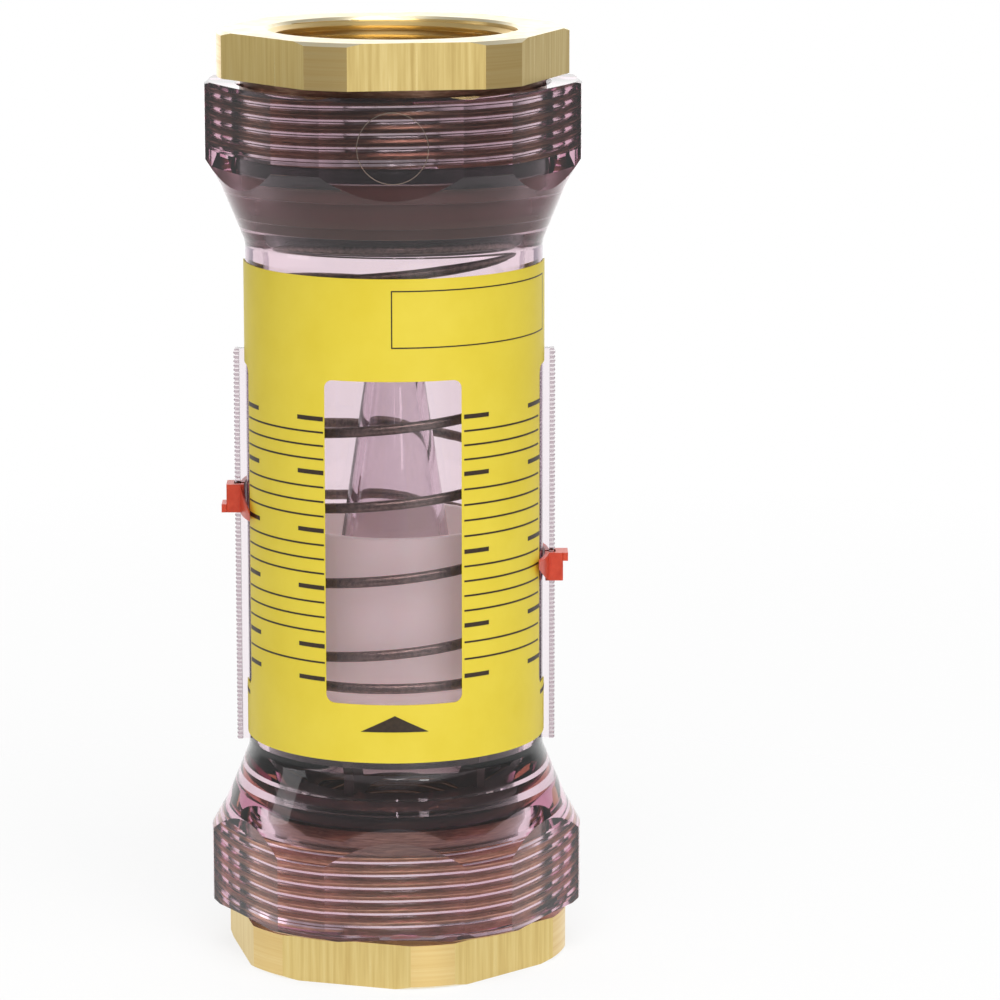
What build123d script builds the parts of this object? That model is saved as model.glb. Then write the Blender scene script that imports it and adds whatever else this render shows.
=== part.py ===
from build123d import *
import math
import os

# In-line variable-area flow meter for liquids. Flow enters at the bottom and lifts a spring-loaded
# orifice piston along a fixed metering cone. The origin is the centre of the inlet face, +Z is the flow
# direction, and -Y is the side with the scale. All sizes are in millimetres.

os.makedirs("parts", exist_ok=True)

# Brass end fittings
fitting_corner_proud = 0.1
fitting_flat_inset = 3.15
fitting_hex_height = 11.0
fitting_face_chamfer = 1.6
fitting_neck_radius = 36.6
fitting_neck_gap = 1.2
fitting_thread_lead = 1.5
male_thread_pitch = 3.175
male_thread_depth = 1.1
hex_chamfer_angle = 30.0
inlet_fitting_turn = -17.5
outlet_fitting_turn = 8.7
pipe_thread_radius = 29.15
pipe_thread_depth = 21.0
pipe_thread_chamfer = 1.2
fitting_bore_radius = 27.0

# Clear housing: hexagonal threaded ends, flares and measuring tube
housing_corner_radius = 45.3
housing_across_flats = 84.2
housing_hex_height = 18.5
housing_end_chamfer = 0.6
shoulder_radius = 41.5
shoulder_height = 6.8
flare_height = 13.4
tube_radius = 36.0
bore_radius = 31.5
shoulder_blend = 2.0
tube_blend = 4.0
housing_thread_radius = 37.95
housing_thread_chamfer = 1.0
thread_clearance = 0.15
inlet_thread_depth = 20.0
outlet_thread_depth = 17.0

# Seals between the fittings' noses and the housing
seal_gland = 3.2
seal_land = 3.8
seal_clearance = 0.1
seal_corner = 0.9
inlet_seal_radius = 36.4
inlet_nose_land = 5.1
nose_clearance = 0.2

# Inlet chamber, where the inlet fitting clamps the spider against a ledge
spider_seat_radius = 34.2
chamber_radius = 33.0
chamber_height = 7.9
chamber_taper = 1.5
clamp_gap = 0.05
inlet_nose_reach = 0.4

# Outlet chamber, with the spring seat under its snap ring
outlet_nose_reach = 0.9
nose_well_radius = 35.4
nose_well_depth = 3.4
seat_bore_radius = 33.5
seat_thickness = 2.2
seat_inner_radius = 25.0
seat_lip_height = 2.4
seat_lip_width = 1.2
seat_clearance = 0.3
snap_ring_thickness = 1.5
snap_ring_width = 2.8
snap_ring_groove = 1.4
snap_ring_opening = 40.0
snap_ring_ear = 1.9
snap_ring_hole = 0.9
snap_ring_clearance = 0.1

# Rails for the pointers, moulded on both sides of the tube
rail_bottom = 39.8
rail_top_gap = 22.0
rail_web_thickness = 1.6
rail_strip_radius = 37.6
rail_strip_depth = 1.35
rail_strip_width = 3.0
rail_tooth_pitch = 1.05
rail_tooth_depth = 0.35

# Printed label
label_thickness = 0.25
label_gap = 0.05
label_bottom = 42.4
label_height = 116.4
label_top_margin = 43.2
label_rail_gap = 0.6
window_width = 32.3
window_bottom = 14.2
window_top_border = 24.3
window_corner = 2.0
notch_half_width = 9.8
notch_bottom = 12.9
notch_top_border = 24.8
notch_corner = 2.4

# Pointers, two of the same moulding
pointer_height = 6.9
pointer_width = 6.0
pointer_wall = 1.8
pointer_ledge_depth = 1.2
pointer_ledge_height = 2.0
pointer_arm_thickness = 1.0
pointer_arm_angle = 18.0
pointer_tip_height = 1.7
pointer_corner = 0.4
pointer_clearance = 0.15
pointer_label_gap = 0.3
left_pointer_reading = 96.8
right_pointer_reading = 86.6

# Piston and its orifice plate
piston_rest = 50.3
window_travel_margin = 7.9
full_travel_gap = 3.8
slide_clearance = 0.3
flange_height = 6.1
flange_chamfer = 0.6
hub_radius = 24.0
hub_wall = 2.0
hub_height = 38.3
hub_root_chamfer = 1.2
hub_rim_chamfer = 0.6
orifice_radius = 19.6
orifice_land = 0.3
orifice_plate_radius = 28.0
orifice_plate_thickness = 1.5
plate_clearance = 0.1
plate_ring_thickness = 1.2
plate_ring_width = 2.2
plate_ring_groove = 0.9
plate_ring_inset = 0.3

# Metering cone, its plug, screw and washer
cone_base_radius = 20.8
cone_tip_radius = 5.8
cone_beyond_travel = 29.5
cone_wall = 2.3
cone_tip_wall = 3.0
cone_tip_chamfer = 1.6
plug_flange_height = 1.9
plug_spigot_height = 3.6
plug_boss_radius = 6.0
plug_boss_height = 9.0
plug_clearance = 0.1
screw_radius = 2.5
screw_length = 16.0
screw_clearance = 0.1
screw_head_radius = 4.6
screw_head_height = 3.2
screw_head_chamfer = 1.2
screw_slot_width = 1.2
screw_slot_depth = 1.4
washer_radius = 6.0
washer_thickness = 1.0

# Spider that carries the cone and stops the piston
spider_rim_height = 2.7
spider_rim_inner = 29.6
spider_clearance = 0.3
spider_hub_radius = 12.0
spider_hub_height = 8.4
rib_count = 6
rib_turn = 70.0
rib_thickness = 2.4
rib_post_width = 2.4
rib_shoulder_width = 2.0
rib_drop = 0.5
rib_stop_gap = 0.3

# Spring between the piston's flange and the spring seat
wire_radius = 1.25
spring_radius = 28.0
spring_gap = 0.1
spring_turns = 7.9
spring_start = 0.47
dead_turns = 0.55
ramp_turns = 1.1
dead_pitch_gap = 0.1
chords_per_turn = 24
wire_sides = 8

# Lengths that follow from the label's: a longer scale takes a longer travel, cone and housing
housing_length = label_bottom + label_height + label_top_margin
rail_length = label_bottom + label_height - rail_top_gap - rail_bottom
window_height = label_height - window_bottom - window_top_border
notch_height = label_height - notch_bottom - notch_top_border
piston_travel = window_height - window_travel_margin
cone_length = piston_travel + cone_beyond_travel

# Heights that follow, from the inlet face
housing_bottom = fitting_hex_height + fitting_neck_gap
housing_top = housing_bottom + housing_length
overall_height = housing_top + fitting_neck_gap + fitting_hex_height
inlet_shoulder = housing_bottom + inlet_thread_depth + inlet_nose_land
inlet_seal_top = inlet_shoulder + seal_land
rim_bottom = inlet_seal_top + inlet_nose_reach + clamp_gap
spider_ledge = rim_bottom + spider_rim_height + clamp_gap
chamber_top = spider_ledge + chamber_height
plug_bottom = rim_bottom + spider_hub_height + clamp_gap
cone_base = plug_bottom + plug_flange_height + clamp_gap
piston_bottom = housing_bottom + piston_rest
flange_top = piston_bottom + flange_height
hub_top = flange_top + hub_height
seat_ledge = hub_top + piston_travel + full_travel_gap
seat_bottom = seat_ledge + seat_clearance
seat_ring_bottom = seat_bottom + seat_thickness + snap_ring_clearance
well_top = housing_top - outlet_thread_depth - seal_land
well_bottom = well_top - nose_well_depth

# Radii and widths that follow
fitting_corner_radius = housing_across_flats / 2 + fitting_corner_proud
fitting_across_flats = housing_across_flats - 2 * fitting_flat_inset
guide_radius = bore_radius - slide_clearance
strip_outer = rail_strip_radius + rail_strip_depth
label_inner = tube_radius + label_gap
label_outer = label_inner + label_thickness
pointer_inner = label_outer + pointer_label_gap
pointer_outer = strip_outer + pointer_clearance + pointer_wall
cone_slope = (cone_base_radius - cone_tip_radius) / cone_length
plate_pocket = orifice_plate_thickness + plate_ring_thickness + plate_ring_inset + 2 * plate_clearance
hex_chamfer_slope = math.tan(math.radians(hex_chamfer_angle))
beyond = 1.0


def turned(*profile, rounds=None):
    """Solid turned about Z from (radius, height) corners, each sharp or with its own round."""
    corners = [(radius, 0, height) for radius, height in profile]
    radii = rounds or [0] * len(corners)
    return revolve(make_face(FilletPolyline(*corners, radius=radii, close=True)), Axis.Z)


def tube(outer, inner, bottom, top):
    """Plain ring about Z."""
    return turned((inner, bottom), (outer, bottom), (outer, top), (inner, top))


def hexagon(across_flats, bottom, top):
    """Hexagonal bar about Z with one flat facing -Y."""
    outline = RegularPolygon(across_flats / 2, 6, major_radius=False)
    return Pos(0, 0, bottom) * extrude(outline, top - bottom)


def sideways(points, thickness):
    """Plate with an (x, z) outline, as thick along Y as asked, with its middle at y = 0."""
    outline = make_face(Polyline(*[(x, 0, z) for x, z in points], close=True))
    return extrude(outline, thickness / 2, both=True)


def end_outline():
    """(radius, distance from the end face) of one housing end, from its face to the tube."""
    shoulder = housing_hex_height + shoulder_height
    return [
        (housing_corner_radius - housing_end_chamfer / hex_chamfer_slope, 0),
        (housing_corner_radius, housing_end_chamfer),
        (housing_corner_radius, housing_hex_height),
        (shoulder_radius, shoulder),
        (tube_radius, shoulder + flare_height),
    ]


def rail():
    """Pointer rail on the +X side: a thin web with a toothed strip along its outer edge."""
    bottom = housing_bottom + rail_bottom
    web_root = (bore_radius + tube_radius) / 2
    web_reach = rail_strip_radius - web_root + rail_strip_depth / 2
    web = Pos(web_root + web_reach / 2, 0, bottom + rail_length / 2) * Box(
        web_reach, rail_web_thickness, rail_length
    )
    top = bottom + rail_length
    tooth_root = strip_outer - rail_tooth_depth
    edge = [(rail_strip_radius, bottom)]
    for tooth in range(int(rail_length / rail_tooth_pitch)):
        foot = bottom + tooth * rail_tooth_pitch
        edge += [(tooth_root, foot), (strip_outer, foot + rail_tooth_pitch / 2)]
    edge += [(tooth_root, top), (rail_strip_radius, top)]
    return web + sideways(edge, rail_strip_width)


def housing():
    """Clear housing moulded in one piece: both hexagonal ends, the flares, the tube and both rails."""
    lower = [(radius, housing_bottom + rise) for radius, rise in end_outline()]
    upper = [(radius, housing_top - rise) for radius, rise in reversed(end_outline())]
    rounds = [0, 0, 0, 0, shoulder_blend, tube_blend, tube_blend, shoulder_blend, 0, 0, 0, 0]
    blank = turned((0, housing_bottom), *lower, *upper, (0, housing_top), rounds=rounds)
    blank &= hexagon(housing_across_flats, housing_bottom, housing_top)

    lead = housing_thread_radius + housing_thread_chamfer
    groove_bottom = seat_ring_bottom - snap_ring_clearance / 2
    groove_top = groove_bottom + snap_ring_thickness + snap_ring_clearance
    passage = turned(
        (0, housing_bottom - beyond),
        (lead + beyond, housing_bottom - beyond),
        (housing_thread_radius, housing_bottom + housing_thread_chamfer),
        (housing_thread_radius, housing_bottom + inlet_thread_depth),
        (inlet_seal_radius, housing_bottom + inlet_thread_depth),
        (inlet_seal_radius, inlet_seal_top),
        (spider_seat_radius, inlet_seal_top),
        (spider_seat_radius, spider_ledge),
        (chamber_radius, spider_ledge),
        (chamber_radius, chamber_top - chamber_taper),
        (bore_radius, chamber_top),
        (bore_radius, seat_ledge),
        (seat_bore_radius, seat_ledge),
        (seat_bore_radius, groove_bottom),
        (seat_bore_radius + snap_ring_groove, groove_bottom),
        (seat_bore_radius + snap_ring_groove, groove_top),
        (seat_bore_radius, groove_top),
        (seat_bore_radius, well_bottom),
        (nose_well_radius, well_bottom),
        (nose_well_radius, well_top),
        (housing_thread_radius, well_top),
        (housing_thread_radius, housing_top - housing_thread_chamfer),
        (lead + beyond, housing_top + beyond),
        (0, housing_top + beyond),
    )
    return blank + rail() + mirror(rail(), Plane.YZ) - passage


def end_fitting(thread_depth, nose):
    """Brass fitting with its pipe face at z = 0 and its nose pointing up into the housing.

    The hexagon is cut from bar. Behind it come the neck, the male thread, made as rings at the
    thread's pitch, and the nose, a list of (radius, length) steps from the thread to the tip.
    """
    head = turned(
        (0, 0),
        (fitting_corner_radius - fitting_face_chamfer / hex_chamfer_slope, 0),
        (fitting_corner_radius, fitting_face_chamfer),
        (fitting_corner_radius, fitting_hex_height),
        (0, fitting_hex_height),
    ) & hexagon(fitting_across_flats, 0, fitting_hex_height)

    entry = fitting_hex_height + fitting_neck_gap
    thread_radius = housing_thread_radius - thread_clearance
    thread_bottom = entry + fitting_thread_lead
    profile = [
        (0, fitting_hex_height - beyond),
        (fitting_neck_radius, fitting_hex_height - beyond),
        (fitting_neck_radius, thread_bottom - (thread_radius - fitting_neck_radius)),
        (thread_radius, thread_bottom),
    ]
    tip = entry + thread_depth - clamp_gap
    for turn in range(int((tip - thread_bottom) / male_thread_pitch)):
        crest = thread_bottom + turn * male_thread_pitch
        profile += [
            (thread_radius - male_thread_depth, crest + male_thread_pitch / 2),
            (thread_radius, crest + male_thread_pitch),
        ]
    profile.append((thread_radius, tip))
    for radius, length in nose:
        profile += [(radius, tip), (radius, tip + length)]
        tip += length
    body = turned(*profile, (0, tip))

    passage = turned(
        (0, -beyond),
        (pipe_thread_radius + pipe_thread_chamfer + beyond, -beyond),
        (pipe_thread_radius, pipe_thread_chamfer),
        (pipe_thread_radius, pipe_thread_depth),
        (fitting_bore_radius, pipe_thread_depth + pipe_thread_radius - fitting_bore_radius),
        (fitting_bore_radius, tip + beyond),
        (0, tip + beyond),
    )
    return head + body - passage


def seal(outer, bottom):
    """O-ring in a gland of the given outer radius and lower face, pressed flat by its walls."""
    left = outer - seal_gland + seal_clearance
    right = outer - seal_clearance
    low = bottom + seal_clearance
    high = bottom + seal_land - seal_clearance
    return turned(
        (left + seal_corner, low),
        (right - seal_corner, low),
        (right, low + seal_corner),
        (right, high - seal_corner),
        (right - seal_corner, high),
        (left + seal_corner, high),
        (left, high - seal_corner),
        (left, low + seal_corner),
    )


def snap_ring(outer, width, thickness, bottom):
    """Internal snap ring, open at the back, with an ear and a plier hole at each end."""
    inner = outer - width
    ring = tube(outer, inner, bottom, bottom + thickness)
    half = math.radians(snap_ring_opening / 2)
    far = 2 * outer
    opening = make_face(Polyline(
        (0, 0),
        (far * math.sin(-half), far * math.cos(half)),
        (far * math.sin(half), far * math.cos(half)),
        close=True,
    ))
    ring -= Pos(0, 0, bottom) * extrude(opening, thickness)
    for side in (-1, 1):
        angle = side * (half + snap_ring_ear / inner)
        centre = Pos(inner * math.sin(angle), inner * math.cos(angle), bottom + thickness / 2)
        ring += centre * Cylinder(snap_ring_ear, thickness)
        ring -= centre * Cylinder(snap_ring_hole, 2 * thickness)
    return ring & tube(outer, inner - snap_ring_ear, bottom, bottom + thickness)


def spring_seat():
    """Ring that takes the spring's top end, with a lip that centres the coil."""
    outer = seat_bore_radius - seat_clearance
    top = seat_bottom + seat_thickness
    lip = seat_inner_radius + seat_lip_width
    return turned(
        (seat_inner_radius, seat_bottom - seat_lip_height),
        (lip, seat_bottom - seat_lip_height),
        (lip, seat_bottom),
        (outer, seat_bottom),
        (outer, top),
        (seat_inner_radius, top),
    )


def spider():
    """Carrier of the metering cone: a clamped rim, a hub and ribs whose posts stop the piston."""
    rim_outer = spider_seat_radius - spider_clearance
    rim = tube(rim_outer, spider_rim_inner, rim_bottom, rim_bottom + spider_rim_height)
    boss_top = rim_bottom + spider_hub_height
    boss = tube(spider_hub_radius, screw_radius + screw_clearance, rim_bottom, boss_top)
    post_outer = bore_radius - spider_clearance
    post_inner = post_outer - rib_post_width
    rib_top = boss_top - rib_drop
    rib = sideways(
        [
            (spider_hub_radius - beyond, rim_bottom),
            (post_outer, rim_bottom),
            (post_outer, piston_bottom - rib_stop_gap),
            (post_inner, piston_bottom - rib_stop_gap),
            (cone_base_radius + rib_shoulder_width, rib_top),
            (spider_hub_radius - beyond, rib_top),
        ],
        rib_thickness,
    )
    ribs = [Rot(0, 0, rib_turn + 360 * place / rib_count) * rib for place in range(rib_count)]
    return rim + boss + ribs


def cone_radius(height):
    """Outer radius of the metering cone at a height."""
    return cone_base_radius - (height - cone_base) * cone_slope


def metering_cone():
    """Clear hollow cone, open at its base, with a solid tip."""
    tip = cone_base + cone_length
    ceiling = tip - cone_tip_wall
    return turned(
        (cone_base_radius - cone_wall, cone_base),
        (cone_base_radius, cone_base),
        (cone_radius(tip - cone_tip_chamfer), tip - cone_tip_chamfer),
        (cone_tip_radius - cone_tip_chamfer, tip),
        (0, tip),
        (0, ceiling),
        (cone_radius(ceiling) - cone_wall, ceiling),
    )


def cone_plug():
    """Plug that closes the cone's base, with a tapped boss for the screw."""
    spigot_top = cone_base + plug_spigot_height
    inset = cone_wall + plug_clearance
    hole = screw_radius + screw_clearance
    hole_top = rim_bottom - washer_thickness + screw_length + beyond
    boss_top = cone_base + plug_boss_height
    return turned(
        (hole, plug_bottom),
        (cone_base_radius, plug_bottom),
        (cone_base_radius, plug_bottom + plug_flange_height),
        (cone_base_radius - inset, plug_bottom + plug_flange_height),
        (cone_radius(spigot_top) - inset, spigot_top),
        (plug_boss_radius, spigot_top),
        (plug_boss_radius, boss_top),
        (0, boss_top),
        (0, hole_top),
        (hole, hole_top),
    )


def cone_screw():
    """Slotted pan-head screw that goes up through the washer and the spider's hub into the plug."""
    seat = rim_bottom - washer_thickness - 2 * clamp_gap
    under = seat - screw_head_height
    screw = turned(
        (0, under),
        (screw_head_radius - screw_head_chamfer, under),
        (screw_head_radius, under + screw_head_chamfer),
        (screw_head_radius, seat),
        (screw_radius, seat),
        (screw_radius, seat + screw_length),
        (0, seat + screw_length),
    )
    slot = Pos(0, 0, under + screw_slot_depth / 2) * Box(
        2 * screw_head_radius + beyond, screw_slot_width, screw_slot_depth
    )
    return screw - slot


def cone_washer():
    """Flat washer under the screw's head."""
    top = rim_bottom - clamp_gap
    return tube(washer_radius, screw_radius + screw_clearance, top - washer_thickness, top)


def piston():
    """Piston moulded in one piece: guide flange, open hub and the pocket for the orifice plate."""
    inside = hub_radius - hub_wall
    pocket = orifice_plate_radius + plate_clearance
    groove = pocket + plate_ring_groove
    groove_bottom = piston_bottom + plate_ring_inset
    groove_top = groove_bottom + plate_ring_thickness + plate_clearance
    pocket_top = piston_bottom + plate_pocket
    return turned(
        (pocket, piston_bottom),
        (guide_radius - flange_chamfer, piston_bottom),
        (guide_radius, piston_bottom + flange_chamfer),
        (guide_radius, flange_top - flange_chamfer),
        (guide_radius - flange_chamfer, flange_top),
        (hub_radius + hub_root_chamfer, flange_top),
        (hub_radius, flange_top + hub_root_chamfer),
        (hub_radius, hub_top - hub_rim_chamfer),
        (hub_radius - hub_rim_chamfer, hub_top),
        (inside, hub_top),
        (inside, pocket_top),
        (pocket, pocket_top),
        (pocket, groove_top),
        (groove, groove_top),
        (groove, groove_bottom),
        (pocket, groove_bottom),
    )


def orifice_plate():
    """Stainless plate whose hole has a sharp edge upstream and a bevel downstream."""
    top = piston_bottom + plate_pocket - plate_clearance
    bottom = top - orifice_plate_thickness
    bevel = orifice_plate_thickness - orifice_land
    return turned(
        (orifice_radius, bottom),
        (orifice_plate_radius, bottom),
        (orifice_plate_radius, top),
        (orifice_radius + bevel, top),
        (orifice_radius, bottom + orifice_land),
    )


def spring():
    """Right-handed compression spring, closed at both ends, its round wire made with eight sides.

    The pitch is that of touching turns at each end and opens smoothly over the ramps, and the
    open turns share out what is left of the height.
    """
    lower = flange_top + spring_gap + wire_radius
    upper = seat_bottom - spring_gap - wire_radius
    chords = round(spring_turns * chords_per_turn)
    chord_turn = spring_turns / chords
    chord_openness = []
    for chord in range(chords):
        place = (chord + 0.5) * chord_turn
        from_end = min(place, spring_turns - place)
        share = min(1.0, max(0.0, (from_end - dead_turns) / ramp_turns))
        chord_openness.append(share * share * (3 - 2 * share))
    dead_rise = (2 * wire_radius + dead_pitch_gap) * chord_turn
    open_rise = (upper - lower - dead_rise * chords) / sum(chord_openness)
    heights = [lower]
    for openness in chord_openness:
        heights.append(heights[-1] + dead_rise + open_rise * openness)

    route = []
    for place, height in enumerate(heights):
        angle = 2 * math.pi * (place * chord_turn - spring_start) - math.pi / 2
        route.append((spring_radius * math.cos(angle), spring_radius * math.sin(angle), height))
    wire = Polyline(*route)
    section = Plane(wire @ 0, z_dir=wire % 0) * RegularPolygon(wire_radius, wire_sides)
    return sweep(section, path=wire, transition=Transition.RIGHT)


def scale_label():
    """Printed label round the front of the tube, with the window and a notch beside each rail."""
    bottom = housing_bottom + label_bottom
    middle = bottom + label_height / 2
    edge = rail_web_thickness / 2 + label_rail_gap
    front = Pos(0, -edge - tube_radius, middle) * Box(4 * tube_radius, 2 * tube_radius, label_height)
    sheet = tube(label_outer, label_inner, bottom, bottom + label_height) & front
    window_middle = bottom + window_bottom + window_height / 2
    window = RectangleRounded(window_width, window_height, window_corner)
    notch_middle = bottom + notch_bottom + notch_height / 2
    notch = RectangleRounded(2 * notch_half_width, notch_height, notch_corner)
    sheet -= extrude(Plane.XZ * Pos(0, window_middle) * window, 2 * tube_radius)
    return sheet - extrude(Plane.YZ * Pos(0, notch_middle) * notch, 2 * tube_radius, both=True)


def pointer():
    """Clip-on pointer for the +X rail, with its reading edge at z = 0 and its body below."""
    middle = -pointer_height / 2
    block_depth = pointer_outer - pointer_inner
    block = Pos(pointer_inner + block_depth / 2, 0, middle) * Box(
        block_depth, pointer_width, pointer_height
    )
    block = fillet(block.edges().filter_by(Axis.Z).group_by(Axis.X)[-1], pointer_corner)
    ledge = Pos(pointer_outer + pointer_ledge_depth / 2, 0, -pointer_ledge_height / 2) * Box(
        pointer_ledge_depth, pointer_width, pointer_ledge_height
    )

    arm_outer = pointer_inner + pointer_arm_thickness
    band = tube(arm_outer, pointer_inner, -pointer_height, 0)
    tip = pointer_inner * math.cos(math.radians(pointer_arm_angle))
    front = make_face(Polyline(
        (tip, 0, 0),
        (arm_outer, 0, 0),
        (arm_outer, 0, -pointer_height),
        (tip, 0, -pointer_tip_height),
        close=True,
    ))
    back = make_face(Polyline(
        (tip, 0, 0),
        (arm_outer, 0, 0),
        (arm_outer, 0, -pointer_height),
        (tip, 0, -pointer_height),
        close=True,
    ))
    front_arm = band & extrude(front, tube_radius, dir=(0, -1, 0))
    back_arm = band & extrude(back, tube_radius, dir=(0, 1, 0))

    strip_depth = rail_strip_depth + 2 * pointer_clearance
    strip_slot = Pos(rail_strip_radius + rail_strip_depth / 2, 0, middle) * Box(
        strip_depth, rail_strip_width + 2 * pointer_clearance, 2 * pointer_height
    )
    web_slot = Pos(rail_strip_radius - tube_radius / 2, 0, middle) * Box(
        tube_radius, rail_web_thickness + 2 * pointer_clearance, 2 * pointer_height
    )
    return block + ledge + front_arm + back_arm - strip_slot - web_slot


inlet_nose = [
    (inlet_seal_radius - nose_clearance, inlet_nose_land),
    (inlet_seal_radius - seal_gland, seal_land + inlet_nose_reach + clamp_gap),
]
outlet_nose = [(housing_thread_radius - seal_gland, seal_land + outlet_nose_reach + clamp_gap)]
inlet_fitting = Rot(0, 0, inlet_fitting_turn) * end_fitting(inlet_thread_depth, inlet_nose)
outlet_fitting = Rot(180, 0, 0) * Rot(0, 0, -outlet_fitting_turn) * end_fitting(
    outlet_thread_depth, outlet_nose
)

PIECES = {
    "inlet_fitting": inlet_fitting,
    "outlet_fitting": Pos(0, 0, overall_height) * outlet_fitting,
    "housing": housing(),
    "inlet_o_ring": seal(inlet_seal_radius, inlet_shoulder),
    "outlet_o_ring": seal(housing_thread_radius, well_top),
    "spider": spider(),
    "metering_cone": metering_cone(),
    "cone_plug": cone_plug(),
    "cone_screw": cone_screw(),
    "cone_washer": cone_washer(),
    "piston": piston(),
    "orifice_plate": orifice_plate(),
    "orifice_snap_ring": snap_ring(
        orifice_plate_radius + plate_ring_groove,
        plate_ring_width,
        plate_ring_thickness,
        piston_bottom + plate_ring_inset + plate_clearance / 2,
    ),
    "spring": spring(),
    "spring_seat": spring_seat(),
    "outlet_snap_ring": snap_ring(
        seat_bore_radius + snap_ring_groove - snap_ring_clearance,
        snap_ring_width,
        snap_ring_thickness,
        seat_ring_bottom,
    ),
    "scale_label": scale_label(),
    "left_pointer": Pos(0, 0, housing_bottom + left_pointer_reading) * Rot(0, 180, 0) * pointer(),
    "right_pointer": Pos(0, 0, housing_bottom + right_pointer_reading) * pointer(),
}

for name, piece in PIECES.items():
    export_step(piece, f"parts/{name}.step")
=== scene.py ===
import bmesh
import bpy
import math
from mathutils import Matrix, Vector


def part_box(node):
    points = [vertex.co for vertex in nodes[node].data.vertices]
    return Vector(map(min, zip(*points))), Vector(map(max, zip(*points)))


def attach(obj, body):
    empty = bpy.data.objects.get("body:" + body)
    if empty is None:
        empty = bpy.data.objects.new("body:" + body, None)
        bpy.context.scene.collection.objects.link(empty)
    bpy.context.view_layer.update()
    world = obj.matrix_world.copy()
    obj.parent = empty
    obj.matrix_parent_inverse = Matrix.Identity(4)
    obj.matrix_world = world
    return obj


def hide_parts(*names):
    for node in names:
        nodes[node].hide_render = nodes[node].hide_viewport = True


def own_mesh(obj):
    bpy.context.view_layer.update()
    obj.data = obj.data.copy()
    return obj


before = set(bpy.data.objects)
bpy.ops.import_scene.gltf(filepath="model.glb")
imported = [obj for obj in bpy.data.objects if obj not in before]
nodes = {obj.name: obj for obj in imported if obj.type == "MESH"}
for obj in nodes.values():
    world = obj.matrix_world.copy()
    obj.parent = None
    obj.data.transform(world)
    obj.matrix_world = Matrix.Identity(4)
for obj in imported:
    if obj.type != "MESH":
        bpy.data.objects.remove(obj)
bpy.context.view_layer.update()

# Brass end fittings. Each is turned from hexagonal bar: a short head with chamfered corners, a female pipe
# thread inside, and behind the head a coarse male thread that screws into the clear housing.
mm = 0.001
turn = 2 * math.pi
same_point = 0.0005 * mm
hair = 0.1 * mm
inlet_low, inlet_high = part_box("inlet_fitting")
outlet_low, outlet_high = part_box("outlet_fitting")
meter_bottom = inlet_low.z
meter_top = outlet_high.z
head_height = 11 * mm
head_corner = 42.2 * mm
head_flats = 77.9 * mm
head_chamfer = 0.8 * mm
entry_chamfer = 0.6 * mm
head_chamfer_width = head_chamfer / math.tan(math.radians(30))
neck_radius = 36.6 * mm
neck_height = 1.2 * mm
male_crest = 37.8 * mm
male_root = 36.5 * mm
male_lead = 1.4 * mm
male_pitch = 3.175 * mm
pipe_root = 29.75 * mm
pipe_crest = 28.35 * mm
pipe_pitch = 25.4 / 11.5 * mm
pipe_taper = 1 / 32
pipe_depth = 21 * mm
pipe_entry = 29.9 * mm
water_bore = 27 * mm
bore_step = 2 * mm
inlet_thread_end = 32.15 * mm
inlet_nose = 36.2 * mm
inlet_gland_floor = 37.25 * mm
inlet_tip = 33.2 * mm
inlet_turned_by = -17.5
outlet_thread_end = 197.25 * mm
outlet_nose = 34.75 * mm
outlet_turned_by = 8.7
# The corners of one turn of a thread: their share of the pitch, and 1 on its crest or 0 in its root.
thread_form = [(0.0, 1.0), (0.08, 1.0), (0.5, 0.0), (0.58, 0.0)]


def colour(red, green, blue):
    """A colour picked as 0 to 255 screen values, as the linear colour that a shader takes."""
    shares = [value / 255 for value in (red, green, blue)]
    linear = [share / 12.92 if share <= 0.04 else ((share + 0.055) / 1.055) ** 2.4 for share in shares]
    return (*linear, 1)


def plain(radius, height):
    """Station of a turned outline with the same radius and height all round."""
    return lambda angle: (radius, height)


def thread(bottom, top, root, crest, pitch, runout, taper=0.0):
    """Stations of a right-handed thread between two heights, from its root and crest radii.

    Every turn of the groove has the same few corners. Where the groove would pass either end, it
    closes up on the run-out radius there. The taper is the change of radius with height.
    """
    stations = []
    first = math.floor(bottom / pitch) - 1
    last = math.ceil(top / pitch) + 1
    for lap in range(first, last):
        for share, crestness in thread_form:
            start = (lap + share) * pitch
            radius = root + (crest - root) * crestness

            def station(angle, start=start, radius=radius):
                height = start + pitch * angle / turn
                if height <= bottom:
                    return runout[0], bottom
                if height >= top:
                    return runout[1], top
                return radius + taper * (height - bottom), height

            stations.append(station)
    return stations


def built(name, shell):
    """A new piece from its shell of faces, with all of them turned outwards."""
    bmesh.ops.recalc_face_normals(shell, faces=shell.faces)
    mesh = bpy.data.meshes.new(name)
    shell.to_mesh(mesh)
    shell.free()
    piece = bpy.data.objects.new(name, mesh)
    bpy.context.scene.collection.objects.link(piece)
    return piece


def spun(name, stations, sides=192):
    """Closed ring-shaped piece: its stations run round its section, and the last joins the first."""
    shell = bmesh.new()
    rings = []
    for station in stations:
        ring = []
        for side in range(sides + 1):
            angle = turn * side / sides
            radius, height = station(angle)
            ring.append(shell.verts.new((radius * math.sin(angle), -radius * math.cos(angle), height)))
        rings.append(ring)
    for ring, following in zip(rings, rings[1:] + rings[:1]):
        for side in range(sides):
            shell.faces.new((ring[side], ring[side + 1], following[side + 1], following[side]))
    bmesh.ops.remove_doubles(shell, verts=shell.verts, dist=same_point)
    bmesh.ops.dissolve_degenerate(shell, edges=shell.edges, dist=same_point)
    return built(name, shell)


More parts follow.
